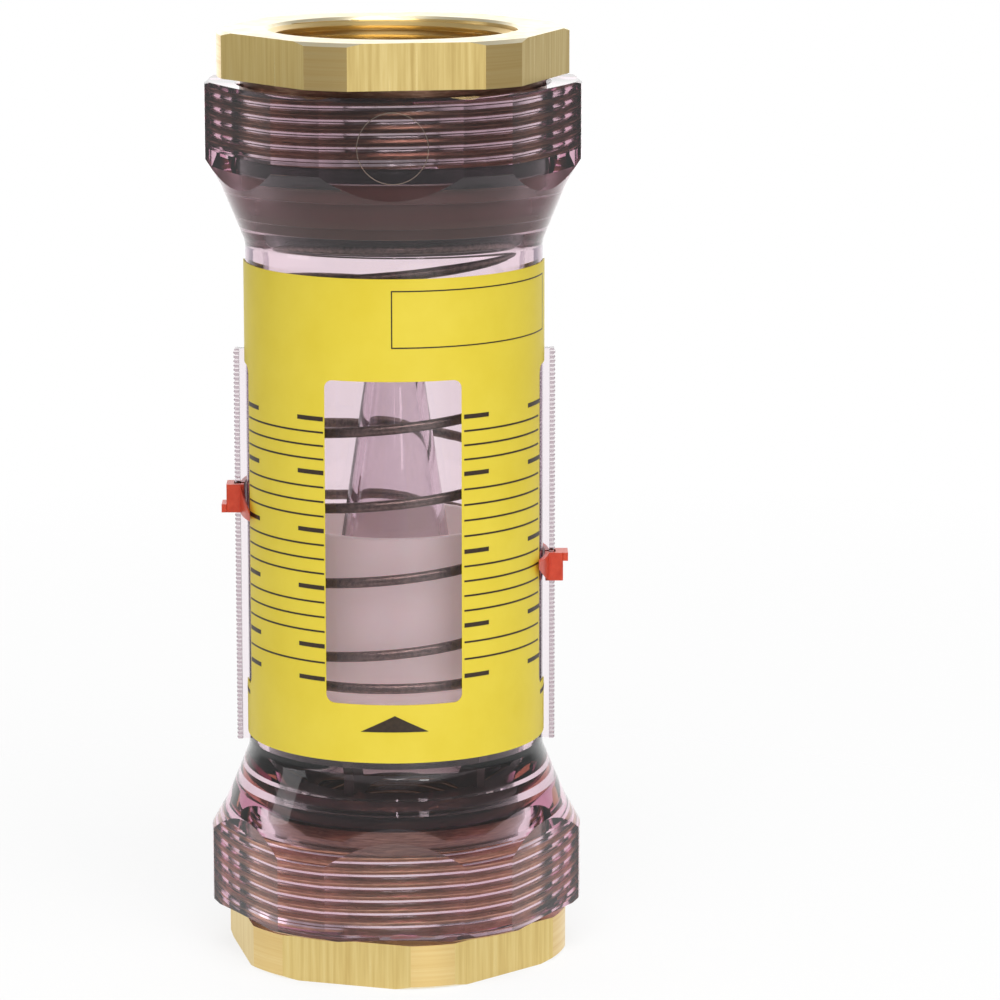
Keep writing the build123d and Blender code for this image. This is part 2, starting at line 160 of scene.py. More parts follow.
def smoothed(piece, crease=18):
    """Smooth shading on curves, with every edge sharper than the crease angle kept crisp."""
    shell = bmesh.new()
    shell.from_mesh(piece.data)
    for face in shell.faces:
        face.smooth = True
    for edge in shell.edges:
        edge.smooth = edge.is_manifold and edge.calc_face_angle(0) < math.radians(crease)
    shell.to_mesh(piece.data)
    shell.free()
    return piece


def milled_hexagon(piece, across_flats, turned_by, bottom, top):
    """Cuts a turned piece down to a hexagonal bar whose front flat is turned round by some degrees."""
    bpy.ops.mesh.primitive_cylinder_add(
        vertices=6,
        radius=across_flats / math.sqrt(3),
        depth=top - bottom + 2 * mm,
        location=(0, 0, (bottom + top) / 2),
        rotation=(0, 0, math.radians(30 + turned_by)),
    )
    bar = bpy.context.object
    cut = piece.modifiers.new("hexagon", "BOOLEAN")
    cut.operation = "INTERSECT"
    cut.solver = "EXACT"
    cut.object = bar
    depsgraph = bpy.context.evaluated_depsgraph_get()
    piece.data = bpy.data.meshes.new_from_object(piece.evaluated_get(depsgraph))
    piece.modifiers.clear()
    bpy.data.objects.remove(bar)
    return piece


def finished(piece, body, slot, material, *stands_for):
    """Gives a piece its material and its body, and hides the nodes that it stands for. Its slot is not used.
    """
    piece.data.materials.clear()
    piece.data.materials.append(material)
    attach(piece, body)
    if stands_for:
        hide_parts(*stands_for)
    return piece


def shared_out(piece, finishes, finish_at):
    """Gives every face of a piece one of its finishes, chosen from the face's middle and normal."""
    piece.data.materials.clear()
    for finish in finishes:
        piece.data.materials.append(finish)
    for polygon in piece.data.polygons:
        polygon.material_index = finishes.index(finish_at(polygon.center, polygon.normal))


def shader(name, **values):
    """A new material with its shader's plain values set, and its node tree to build on."""
    material = bpy.data.materials.new(name)
    material.use_nodes = True
    tree = material.node_tree
    surface = tree.nodes["Principled BSDF"]
    for socket, value in values.items():
        surface.inputs[socket.replace("_", " ")].default_value = value
    return material, tree, surface


def speckle(tree, scale, stretch=(1, 1, 1), detail=4.0, roughness=0.6):
    """Noise fixed to the piece, in noise cells for each metre, drawn out where stretch is small."""
    place = tree.nodes.new("ShaderNodeTexCoord")
    mapping = tree.nodes.new("ShaderNodeMapping")
    mapping.inputs["Scale"].default_value = stretch
    noise = tree.nodes.new("ShaderNodeTexNoise")
    noise.inputs["Scale"].default_value = scale
    noise.inputs["Detail"].default_value = detail
    noise.inputs["Roughness"].default_value = roughness
    tree.links.new(place.outputs["Object"], mapping.inputs["Vector"])
    tree.links.new(mapping.outputs["Vector"], noise.inputs["Vector"])
    return noise.outputs["Fac"]


def graded(tree, value, *stops):
    """Colour ramp over a value. Each stop is a place from 0 to 1 and a colour."""
    ramp = tree.nodes.new("ShaderNodeValToRGB")
    points = ramp.color_ramp.elements
    while len(points) < len(stops):
        points.new(0.5)
    for point, (place, shade) in zip(points, stops):
        point.position = place
        point.color = shade
    tree.links.new(value, ramp.inputs["Fac"])
    return ramp.outputs["Color"]


def ranged(tree, value, low, high, start=0.3, stop=0.7):
    """A value stretched so that its start becomes the low number and its stop the high one."""
    spread = tree.nodes.new("ShaderNodeMapRange")
    spread.inputs["From Min"].default_value = start
    spread.inputs["From Max"].default_value = stop
    spread.inputs["To Min"].default_value = low
    spread.inputs["To Max"].default_value = high
    tree.links.new(value, spread.inputs["Value"])
    return spread.outputs["Result"]


def embossed(tree, surface, value, depth):
    """Lets a value raise the surface by a depth in metres."""
    bump = tree.nodes.new("ShaderNodeBump")
    bump.inputs["Distance"].default_value = depth
    bump.inputs["Strength"].default_value = 1.0
    tree.links.new(value, bump.inputs["Height"])
    tree.links.new(bump.outputs["Normal"], surface.inputs["Normal"])


def machined_brass(name, grain_stretch, grain_depth, drawn_out, turned, dark, middle, light):
    """Brass with a fine grain along its tool marks, which draw its highlights out across them."""
    material, tree, surface = shader(
        name, Metallic=1.0, Anisotropic=drawn_out, Anisotropic_Rotation=0.25 if turned else 0.0
    )
    grain = speckle(tree, 900, stretch=grain_stretch)
    tree.links.new(
        graded(tree, grain, (0.25, dark), (0.52, middle), (0.78, light)), surface.inputs["Base Color"]
    )
    tree.links.new(ranged(tree, grain, 0.36, 0.27), surface.inputs["Roughness"])
    round_the_axis = tree.nodes.new("ShaderNodeTangent")
    round_the_axis.axis = "Z"
    tree.links.new(round_the_axis.outputs["Tangent"], surface.inputs["Tangent"])
    embossed(tree, surface, grain, grain_depth)
    return material


milled_brass = machined_brass(
    "milled_brass",
    (1, 1, 0.035),
    0.008 * mm,
    0.75,
    False,
    colour(214, 184, 114),
    colour(228, 202, 132),
    colour(238, 216, 152),
)
turned_brass = machined_brass(
    "turned_brass",
    (0.02, 0.02, 1.5),
    0.001 * mm,
    0.75,
    True,
    colour(226, 192, 124),
    colour(234, 204, 138),
    colour(240, 214, 152),
)
# Painted highlight: the end faces and chamfers get a paler, whiter brass for the bright light that they
# mirror.
painted_highlight_brass = machined_brass(
    "painted_highlight_brass",
    (0.3, 0.3, 1),
    0.001 * mm,
    0.5,
    True,
    colour(244, 228, 186),
    colour(250, 238, 204),
    colour(253, 244, 216),
)
# Painted shade: darker, browner copies of the brass, paler on the inlet's male thread, darker on the noses
# and the outlet's thread, darkest in the bores.
inlet_thread_shade_brass, deep_shade_brass, bore_shade_brass = [
    machined_brass(name, (0.3, 0.3, 3), 0.01 * mm, 0.2, True, dark, middle, light)
    for name, dark, middle, light in (
        ("inlet_thread_painted_shade", colour(176, 138, 108), colour(222, 182, 146), colour(250, 220, 188)),
        ("deep_painted_shade_brass", colour(102, 76, 62), colour(136, 105, 87), colour(168, 136, 114)),
        ("bore_painted_shade", colour(70, 48, 36), colour(92, 64, 46), colour(112, 82, 60)),
    )
]


def fitting(node, face, inwards, thread_end, steps, turned_by):
    """One fitting from its pipe face. The inwards sign is +1 where the housing lies above the face."""

    def at(distance):
        """The height at a distance behind the pipe face."""
        return face + inwards * distance

    head_end = at(head_height)
    thread_start = at(head_height + neck_height + male_lead)
    outside = [
        plain(head_corner - head_chamfer_width, face),
        plain(head_corner, at(head_chamfer)),
        plain(head_corner, head_end),
        plain(neck_radius, head_end),
        plain(neck_radius, thread_start),
    ]
    low, high = sorted((thread_start, thread_end))
    male = thread(low, high, male_root, male_crest, male_pitch, (male_root, male_root))
    nose = [plain(radius, height) for radius, height in steps]
    inside_end = at(pipe_depth)
    low, high = sorted((at(entry_chamfer), inside_end))
    taper = -inwards * pipe_taper
    widest = 0 if inwards > 0 else (high - low) * pipe_taper
    female = thread(
        low, high, pipe_root - widest, pipe_crest - widest, pipe_pitch, (pipe_entry, pipe_entry), taper
    )
    if inwards < 0:
        male.reverse()
    else:
        female.reverse()
    inside = [
        plain(water_bore, steps[-1][1]),
        plain(water_bore, at(pipe_depth + pipe_entry - water_bore)),
        plain(pipe_entry, inside_end),
        *female,
        plain(pipe_entry, at(entry_chamfer)),
        plain(pipe_entry + entry_chamfer, face),
    ]
    piece = spun(f"{node}_turned", outside + male + nose + inside)
    milled_hexagon(piece, head_flats, turned_by, meter_bottom, meter_top)
    finished(smoothed(piece), "meter", "brass", milled_brass, node)

    def brass_at(middle, normal):
        """The finish of the face with this middle, told by its place and the way that it looks. Threads,
        noses and bores get painted shade, end faces a painted highlight.
        """
        radius = math.hypot(middle.x, middle.y)
        behind_head = (middle.z - head_end) * inwards > 0
        past_pipe = (middle.z - inside_end) * inwards > 0
        milled_flat = abs(normal.z) < 0.01 and neck_radius < radius < head_corner - hair
        if past_pipe and radius < water_bore + bore_step or inwards > 0 and radius < pipe_entry:
            return bore_shade_brass
        if behind_head and radius > pipe_entry and inwards > 0 and middle.z < thread_end:
            return inlet_thread_shade_brass
        if past_pipe or behind_head and radius > pipe_entry:
            return deep_shade_brass
        if abs(normal.z) > 0.6 and radius > pipe_entry - hair:
            return painted_highlight_brass
        return milled_brass if milled_flat else turned_brass

    brasses = (milled_brass, turned_brass, inlet_thread_shade_brass, painted_highlight_brass, bore_shade_brass, deep_shade_brass)
    shared_out(piece, brasses, brass_at)
    return piece


fitting(
    "inlet_fitting",
    meter_bottom,
    1,
    inlet_thread_end,
    [
        (inlet_nose, inlet_thread_end),
        (inlet_nose, inlet_gland_floor),
        (inlet_tip, inlet_gland_floor),
        (inlet_tip, inlet_high.z),
    ],
    inlet_turned_by,
)
fitting(
    "outlet_fitting",
    meter_top,
    -1,
    outlet_thread_end,
    [(outlet_nose, outlet_thread_end), (outlet_nose, outlet_low.z)],
    outlet_turned_by,
)

# Clear housing. One moulding in tinted clear plastic: a hexagon and a flare at each end, and the measuring
# tube between them. The threads that take the brass fittings and the stepped bore are moulded inside it.
housing_low, housing_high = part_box("housing")
housing_bottom = housing_low.z
housing_top = housing_high.z
housing_flats = 84.2 * mm
housing_corner = 45.3 * mm
end_chamfer = 0.6 * mm
end_chamfer_width = end_chamfer / math.tan(math.radians(30))
end_height = 18.5 * mm
shoulder_height = 6.8 * mm
shoulder_radius = 41.5 * mm
flare_height = 13.4 * mm
shoulder_round = 1.2 * mm
flare_round = 1.6 * mm
tube_radius = 36 * mm
tube_bore = 31.5 * mm
root_gap = 0.1 * mm
crest_bite = 0.1 * mm
spider_ledge = 44.3 * mm
spider_bore = 34.2 * mm
chamber_bore = 33 * mm
chamber_slope = 50.7 * mm
chamber_top = 52.2 * mm
seat_ledge = 180.7 * mm
seat_bore = 33.5 * mm
ring_groove = 34.9 * mm
groove_low = 183.25 * mm
groove_high = 184.85 * mm
well_low = 190 * mm
well_high = 193.4 * mm
well_bore = 35.4 * mm
inlet_gland = 36.4 * mm
inlet_gland_top = 41.1 * mm
outlet_gland = 37.95 * mm


def bend(before, corner, after, size, steps=6):
    """Stations that round off a corner of an outline, starting its size before the corner."""
    start = corner + (before - corner).normalized() * size
    end = corner + (after - corner).normalized() * size
    stations = []
    for step in range(steps + 1):
        share = step / steps
        point = start * (1 - share) ** 2 + corner * 2 * share * (1 - share) + end * share**2
        stations.append(plain(point.x, point.y))
    return stations


def housing_end(face, inwards):
    """Outer stations of one end of the housing, from its face to the tube."""
    corner = Vector((housing_corner, face + inwards * end_height))
    shoulder = Vector((shoulder_radius, corner.y + inwards * shoulder_height))
    tube_end = Vector((tube_radius, shoulder.y + inwards * flare_height))
    middle = Vector((tube_radius, (housing_bottom + housing_top) / 2))
    return [
        plain(housing_corner - end_chamfer_width, face),
        plain(housing_corner, face + inwards * end_chamfer),
        plain(corner.x, corner.y),
        *bend(corner, shoulder, tube_end, shoulder_round),
        *bend(shoulder, tube_end, middle, flare_round),
    ]


def see_through(name, passes, tint, density, roughness, ripple, ripple_depth, clearness=1.0):
    """Clear plastic tinted through its thickness, with a ripple over its surface."""
    material, tree, surface = shader(
        name, Base_Color=passes, Roughness=roughness, IOR=1.58, Transmission_Weight=clearness
    )
    inside = tree.nodes.new("ShaderNodeVolumeAbsorption")
    inside.inputs["Color"].default_value = tint
    inside.inputs["Density"].default_value = density
    tree.links.new(inside.outputs["Volume"], tree.nodes["Material Output"].inputs["Volume"])
    embossed(tree, surface, ripple(tree), ripple_depth)
    return material


def mould_ripple(tree):
    """Faint waves that a polished mould leaves."""
    return speckle(tree, 120, detail=2.0)


def thread_ripple(tree):
    """Fine lines that run round a moulded thread."""
    return speckle(tree, 500, stretch=(0.15, 0.15, 2))


def seat_ripple(tree):
    """Coarse lines that run round the stepped seats."""
    return speckle(tree, 300, stretch=(0.06, 0.06, 1.5))


housing_tint = (0.84, 0.55, 0.68, 1)
housing_density = 75
# The darker copy is painted shade, put on the tube's faces beside each rail.
moulded_clear, painted_shade_clear = [
    see_through(
        f"{name}_clear_plastic", passes, housing_tint, housing_density, 0.02, mould_ripple, 0.01 * mm
    )
    for name, passes in (("moulded", colour(255, 255, 255)), ("rail_painted_shade", colour(124, 114, 138)))
]
# The outlet thread's copy has a darker, browner tint, which is painted shade at the upper end.
inlet_thread_clear, outlet_thread_shade_clear = [
    see_through(
        f"{name}_clear_plastic", passes, housing_tint, housing_density, 0.12, thread_ripple, 0.02 * mm
    )
    for name, passes in (("inlet_thread", colour(248, 228, 216)), ("outlet_thread", colour(206, 160, 140)))
]
# Their roughness is their own; their darker tint and lower clearness are painted shade inside the upper end.
seat_shade_clear = see_through(
    "seat_clear_plastic",
    colour(168, 132, 112),
    housing_tint,
    housing_density,
    0.3,
    seat_ripple,
    0.08 * mm,
    clearness=0.6,
)

lower_end = housing_end(housing_bottom, 1)
upper_end = housing_end(housing_top, -1)
inlet_female, outlet_female = [
    thread(
        low, high, male_root + root_gap, male_crest - crest_bite, male_pitch, (outlet_gland, outlet_gland)
    )
    for low, high in (
        (housing_bottom + end_chamfer, inlet_thread_end),
        (outlet_thread_end, housing_top - end_chamfer),
    )
]
bore = [
    (inlet_gland, inlet_thread_end + hair / 2),
    (inlet_gland, inlet_gland_top),
    (spider_bore, inlet_gland_top),
    (spider_bore, spider_ledge),
    (chamber_bore, spider_ledge),
    (chamber_bore, chamber_slope),
    (tube_bore, chamber_top),
    (tube_bore, seat_ledge),
    (seat_bore, seat_ledge),
    (seat_bore, groove_low),
    (ring_groove, groove_low),
    (ring_groove, groove_high),
    (seat_bore, groove_high),
    (seat_bore, well_low),
    (well_bore, well_low),
    (well_bore, well_high),
    (outlet_gland, well_high),
]
inside = inlet_female + [plain(*step) for step in bore] + outlet_female
housing = spun("housing_moulded", lower_end + upper_end[::-1] + inside[::-1])
milled_hexagon(housing, housing_flats, 0, housing_bottom, housing_top)
finished(smoothed(housing), "meter", "clear_body", moulded_clear, "housing")
beside_rail = tube_radius * math.cos(math.radians(10))


def clear_at(middle, normal):
    """The finish of the housing's face with this middle: threads, seats, the painted shade beside a rail, or
    plain.
    """
    radius = math.hypot(middle.x, middle.y)
    if radius < outlet_gland + hair / 2 and middle.z < inlet_thread_end:
        return inlet_thread_clear
    if radius < outlet_gland + hair / 2 and middle.z > outlet_thread_end:
        return outlet_thread_shade_clear
    if radius < well_bore + hair and middle.z > seat_ledge:
        return seat_shade_clear
    if abs(radius - tube_radius) < hair and abs(middle.x) > beside_rail:
        return painted_shade_clear
    return moulded_clear


clear_plastics = (moulded_clear, inlet_thread_clear, seat_shade_clear, painted_shade_clear, outlet_thread_shade_clear)
shared_out(housing, clear_plastics, clear_at)

# A fine round line stands on the front flat of the upper hexagon. It is part of the moulding, left where a
# round insert met the face of the mould.
mark_radius = 8.3 * mm
mark_line = 0.09 * mm
mark_height = 202.3 * mm
mark_offset = 0.3 * mm
bpy.ops.mesh.primitive_torus_add(
    major_segments=96,
    minor_segments=8,
    major_radius=mark_radius,
    minor_radius=mark_line,
    location=(mark_offset, mark_line - housing_flats / 2, mark_height),
    rotation=(math.radians(90), 0, 0),
)
insert_mark = bpy.context.object
insert_mark.name = "insert_mark"
# The ring's pale colour is a painted highlight, for the light caught along its edge in the clear plastic.
mark_painted_highlight = shader("moulding_mark_painted_highlight", Base_Color=colour(196, 176, 156), Roughness=0.4)[0]
finished(insert_mark, "meter", "clear_body", mark_painted_highlight)

# Rails. A thin web down each side of the tube, moulded with it, carries a strip with fine teeth that the
# pointers click on.
rail_bottom = housing_bottom + 39.8 * mm
rail_top = rail_bottom + 97 * mm
rail_web = 1.6 * mm
strip_inner = 37.6 * mm
strip_outer = 38.95 * mm
strip_width = 3 * mm
tooth_pitch = 1.05 * mm
tooth_depth = 0.35 * mm
rail_root = tube_radius - 0.02 * mm


def pressed(name, outline, thickness, side=1):
    """Flat piece of an (x, z) outline, mirrored to -X where the side is -1, centred on the XZ plane."""
    shell = bmesh.new()
    front = [shell.verts.new((side * x, -thickness / 2, z)) for x, z in outline]
    back = [shell.verts.new((side * x, thickness / 2, z)) for x, z in outline]
    shell.faces.new(front)
    shell.faces.new(back[::-1])
    for place in range(len(outline)):
        after = (place + 1) % len(outline)
        shell.faces.new((front[place], back[place], back[after], front[after]))
    return built(name, shell)


rail_plastic, rail_tree, rail_surface = shader(
    "rail_plastic",
    Base_Color=colour(250, 242, 246),
    Roughness=0.06,
    IOR=1.45,
    Transmission_Weight=1.0,
)
embossed(rail_tree, rail_surface, speckle(rail_tree, 500), 0.01 * mm)
tooth_plastic, tooth_tree, tooth_surface = shader(
    "rail_tooth_plastic", Roughness=0.12, IOR=1.45, Transmission_Weight=1.0
)
# Painted shade and highlight: the strip is banded darker and lighter at the tooth pitch, for the light and
# shade on its teeth; the same bands give it a small relief.
tooth_place = tooth_tree.nodes.new("ShaderNodeTexCoord")
tooth_bands = tooth_tree.nodes.new("ShaderNodeTexWave")
tooth_bands.bands_direction = "Z"
tooth_bands.inputs["Scale"].default_value = 2 * math.pi / (20 * tooth_pitch)
tooth_tree.links.new(tooth_place.outputs["Object"], tooth_bands.inputs["Vector"])
tooth_shade_and_relief = tooth_bands.outputs["Fac"]
tooth_tree.links.new(
    graded(tooth_tree, tooth_shade_and_relief, (0.25, colour(176, 158, 166)), (0.7, colour(255, 248, 250))),
    tooth_surface.inputs["Base Color"],
)
embossed(tooth_tree, tooth_surface, tooth_shade_and_relief, 0.15 * mm)
for side, side_name in ((-1, "left"), (1, "right")):
    web = [
        (rail_root, rail_bottom),
        (strip_inner, rail_bottom),
        (strip_inner, rail_top),
        (rail_root, rail_top),
    ]
    teeth = [(strip_inner, rail_bottom)]
    for tooth in range(int((rail_top - rail_bottom) / tooth_pitch)):
        foot = rail_bottom + tooth * tooth_pitch
        teeth += [(strip_outer - tooth_depth, foot), (strip_outer, foot + tooth_pitch / 2)]
    teeth += [(strip_outer - tooth_depth, rail_top), (strip_inner, rail_top)]
    finished(pressed(f"{side_name}_rail_web", web, rail_web, side), "meter", "clear_body", rail_plastic)
    strip = pressed(f"{side_name}_rail_teeth", teeth, strip_width, side)
    finished(strip, "meter", "clear_body", tooth_plastic)

# Seals. Two black rubber O-rings, squeezed between the fittings' noses and the housing, where they show
# through the plastic as dark bands.
rubber, rubber_tree, rubber_surface = shader("black_rubber", Roughness=0.55)
rubber_tree.links.new(
    graded(
        rubber_tree, speckle(rubber_tree, 1500), (0.3, colour(14, 14, 15)), (0.75, colour(34, 33, 35))
    ),
    rubber_surface.inputs["Base Color"],
)
cord_width = 3 * mm
cord_corners = 24
squeeze = 0.62
for seal_name in ("inlet_o_ring", "outlet_o_ring"):
    low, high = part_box(seal_name)
    cord_height = high.z - low.z
    middle_radius = high.x - cord_width / 2
    middle_height = (low.z + high.z) / 2
    section = []
    for step in range(cord_corners):
        angle = turn * step / cord_corners
        across = math.copysign(abs(math.cos(angle)) ** squeeze, math.cos(angle))
        along = math.copysign(abs(math.sin(angle)) ** squeeze, math.sin(angle))
        section.append(
            plain(middle_radius + across * cord_width / 2, middle_height + along * cord_height / 2)
        )
    ring = spun(f"{seal_name}_cord", section)
    finished(smoothed(ring, 60), "meter", "seal_rubber", rubber, seal_name)

# Spider, cone plug and spring seat. These carriers are moulded in a dark brown plastic and sit inside the
# housing. The spider's rim is clamped by the inlet fitting's nose, and its ribs stop the piston.
carrier, carrier_tree, carrier_surface = shader("moulded_carrier", Roughness=0.42)
carrier_tree.links.new(
    graded(
        carrier_tree, speckle(carrier_tree, 260), (0.3, colour(58, 44, 42)), (0.75, colour(78, 60, 56))
    ),
    carrier_surface.inputs["Base Color"],
)
embossed(carrier_tree, carrier_surface, speckle(carrier_tree, 2500), 0.01 * mm)
for carrier_name in ("spider", "cone_plug", "spring_seat"):
    nodes[carrier_name].data.materials.clear()
    nodes[carrier_name].data.materials.append(carrier)

# Steel trim. The cone's screw and washer, both snap rings and the sharp-edged orifice plate are stainless
# steel, turned or stamped, with fine machining marks.
steel, steel_tree, steel_surface = shader("stainless_trim", Metallic=1.0, Roughness=0.3)
steel_grain = speckle(steel_tree, 2200)
steel_tree.links.new(
    graded(steel_tree, steel_grain, (0.3, colour(150, 148, 146)), (0.75, colour(196, 195, 193))),
    steel_surface.inputs["Base Color"],
)
embossed(steel_tree, steel_surface, steel_grain, 0.004 * mm)
for trim_name in ("cone_screw", "cone_washer", "orifice_plate", "orifice_snap_ring", "outlet_snap_ring"):
    nodes[trim_name].data.materials.clear()
    nodes[trim_name].data.materials.append(steel)

# Metering cone. A hollow clear moulding, screwed down on the spider with its narrow end towards the outlet.
# The piston's orifice rides up round it, so its taper sets the scale.
cone_low, cone_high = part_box("metering_cone")
cone_base = cone_low.z
cone_tip = cone_high.z
cone_base_radius = cone_high.x
cone_tip_radius = 5.8 * mm
cone_wall = 2.3 * mm
cone_cap = 3 * mm
cone_slope = (cone_base_radius - cone_tip_radius) / (cone_tip - cone_base)
cone_ceiling = cone_tip - cone_cap
cone_edge_round = 2 * mm
cone_tint = (0.74, 0.60, 0.68, 1)
cone_density = 230
cone_plastic = see_through(
    "clear_cone_plastic",
    colour(255, 255, 255),
    cone_tint,
    cone_density,
    0.02,
    mould_ripple,
    0.008 * mm,
)
cone = spun(
    "metering_cone_moulded",
    [
        plain(cone_base_radius - cone_wall, cone_base),
        plain(cone_base_radius, cone_base),
        *bend(
            Vector((cone_base_radius, cone_base)),
            Vector((cone_tip_radius, cone_tip)),
            Vector((0, cone_tip)),
            cone_edge_round,
        ),
        plain(0, cone_tip),
        plain(0, cone_ceiling),
        plain(cone_tip_radius + cone_slope * cone_cap - cone_wall, cone_ceiling),
    ],
    96,
)
finished(smoothed(cone), "meter", "clear_cone", cone_plastic, "metering_cone")

# Piston. One moulding in pale plastic: a guide flange that slides in the tube and an open hub. The orifice
# plate is held in a pocket under the flange by its snap ring.
piston_low, piston_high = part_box("piston")
piston_bottom = piston_low.z
piston_top = piston_high.z
guide_radius = piston_high.x
flange_top = piston_bottom + 6.1 * mm
hub_radius = 24 * mm
hub_bore = 22 * mm
pocket_radius = 28.1 * mm
pocket_top = piston_bottom + 3.2 * mm
groove_radius = 29 * mm
groove_bottom = piston_bottom + 0.3 * mm
groove_top = piston_bottom + 1.6 * mm
# Its faint emission is painted light: the hub glows a little, for the light that comes through it from
# behind.
pale_plastic, pale_tree, pale_surface = shader(
    "pale_glowing_piston_plastic",
    Roughness=0.38,
    Subsurface_Weight=0.15,
    Subsurface_Scale=0.002,
    Emission_Color=colour(255, 236, 232),
    Emission_Strength=0.26,
)
pale_tree.links.new(
    graded(pale_tree, speckle(pale_tree, 90), (0.3, colour(246, 232, 230)), (0.75, colour(252, 244, 242))),
    pale_surface.inputs["Base Color"],
)
embossed(pale_tree, pale_surface, speckle(pale_tree, 700), 0.012 * mm)

# The corners of the piston's outline from its foot over the flange and the hub, and how far each is rounded.
piston_corners = [
    (pocket_radius, piston_bottom, None),
    (guide_radius, piston_bottom, 0.6 * mm),
    (guide_radius, flange_top, 0.6 * mm),
    (hub_radius, flange_top, 1.4 * mm),
    (hub_radius, piston_top, 0.6 * mm),
    (hub_bore, piston_top, 0.6 * mm),
    (hub_bore, pocket_top, None),
]
piston_outline = [plain(pocket_radius, piston_bottom)]
for before, corner, after in zip(piston_corners, piston_corners[1:], piston_corners[2:]):
    piston_outline += bend(Vector(before[:2]), Vector(corner[:2]), Vector(after[:2]), corner[2])
piston_outline += [
    plain(hub_bore, pocket_top),
    plain(pocket_radius, pocket_top),
    plain(pocket_radius, groove_top),
    plain(groove_radius, groove_top),
    plain(groove_radius, groove_bottom),
    plain(pocket_radius, groove_bottom),
]
piston = spun("piston_moulded", piston_outline, 128)
finished(smoothed(piston), "piston", "piston_plastic", pale_plastic, "piston")

# Spring. Round steel wire, dark from its drawing, wound right-handed and closed at both ends. It presses the
# piston down, and squeezes up against the spring seat as the piston rises.
spring_low, spring_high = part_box("spring")
wire_radius = 1.25 * mm
coil_radius = 28 * mm
coil_turns = 7.9
start_turns = 0.47
dead_turns = 0.55
ramp_turns = 1.1
steps_per_turn = 40
wire_sides = 12
coil_gap = 0.1 * mm
spring_start = spring_low.z + wire_radius
spring_end = spring_high.z - wire_radius
steps = round(coil_turns * steps_per_turn)
step_turn = coil_turns / steps
openness = []
for step in range(steps):
    place = (step + 0.5) * step_turn
    share = min(1.0, max(0.0, (min(place, coil_turns - place) - dead_turns) / ramp_turns))
    openness.append(share * share * (3 - 2 * share))
dead_rise = (2 * wire_radius + coil_gap) * step_turn
open_rise = (spring_end - spring_start - dead_rise * steps) / sum(openness)
wire_middle = []
height = spring_start
for step in range(steps + 1):
    angle = turn * (step * step_turn - start_turns)
    wire_middle.append(Vector((coil_radius * math.sin(angle), -coil_radius * math.cos(angle), height)))
    if step < steps:
        height += dead_rise + open_rise * openness[step]


def drawn(name, route, radius, sides):
    """Round wire along a route of points, closed at both ends."""
    shell = bmesh.new()
    rings = []
    for place, point in enumerate(route):
        ahead = (route[min(place + 1, len(route) - 1)] - route[max(place - 1, 0)]).normalized()
        outwards = Vector((point.x, point.y, 0)).normalized()
        upwards = ahead.cross(outwards).normalized()
        ring = []
        for side in range(sides):
            angle = turn * side / sides
            ring.append(
                shell.verts.new(point + (outwards * math.cos(angle) + upwards * math.sin(angle)) * radius)
            )
        rings.append(ring)
    for ring, following in zip(rings, rings[1:]):
        for side in range(sides):
            after = (side + 1) % sides
            shell.faces.new((ring[side], ring[after], following[after], following[side]))
    shell.faces.new(rings[0])
    shell.faces.new(rings[-1][::-1])
    return built(name, shell)


wire, wire_tree, wire_surface = shader("drawn_spring_wire", Metallic=0.85, Roughness=0.42)
wire_tree.links.new(
    graded(wire_tree, speckle(wire_tree, 900), (0.3, colour(104, 90, 84)), (0.75, colour(158, 140, 130))),
    wire_surface.inputs["Base Color"],
)
spring = smoothed(drawn("spring_wound", wire_middle, wire_radius, wire_sides), 40)
finished(spring, "meter", "spring_wire", wire, "spring")
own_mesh(spring)

# Printed label. A thin yellow plastic film wrapped round the front of the tube, with its window and side
# notches cut out and the marks of both scales printed in black.
film, film_tree, film_surface = shader("yellow_label_film", Roughness=0.5)
film_tree.links.new(
    graded(film_tree, speckle(film_tree, 60), (0.3, colour(240, 215, 56)), (0.75, colour(247, 224, 72))),
    film_surface.inputs["Base Color"],
)
embossed(film_tree, film_surface, speckle(film_tree, 900), 0.006 * mm)
nodes["scale_label"].data.materials.clear()
nodes["scale_label"].data.materials.append(film)

print_lift = 0.04 * mm
print_thickness = 0.03 * mm
print_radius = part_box("scale_label")[1].x + print_lift
same_mark = 0.0001 * mm
ink, ink_tree, ink_surface = shader("black_print", Roughness=0.45)
ink_tree.links.new(
    graded(ink_tree, speckle(ink_tree, 1200), (0.3, colour(46, 33, 20)), (0.75, colour(66, 49, 32))),
    ink_surface.inputs["Base Color"],
)


def on_label(angle, height, lift=0.0):
    """Point on the label at an angle in degrees from the front, to the right, and a height."""
    radius = print_radius + lift
    side = math.radians(angle)
    return Vector((radius * math.sin(side), -radius * math.cos(side), height))


def printed_patch(shell, left, right, low, high):
    """Printed patch between two angles. Its heights may change from its left edge to its right edge."""
    slices = max(1, math.ceil((right - left) / 2))
    lows = low if isinstance(low, tuple) else (low, low)
    highs = high if isinstance(high, tuple) else (high, high)
    columns = []
    for step in range(slices + 1):
        share = step / slices
        angle = left + (right - left) * share
        bottom = lows[0] + (lows[1] - lows[0]) * share
        top = highs[0] + (highs[1] - highs[0]) * share
        columns.append(
            [
                shell.verts.new(on_label(angle, bottom)),
                shell.verts.new(on_label(angle, top)),
                shell.verts.new(on_label(angle, top, print_thickness)),
                shell.verts.new(on_label(angle, bottom, print_thickness)),
            ]
        )
    for column, following in zip(columns, columns[1:]):
        for place in range(4):
            after = (place + 1) % 4
            shell.faces.new((column[place], column[after], following[after], following[place]))
    shell.faces.new(columns[0][::-1])
    shell.faces.new(columns[-1])


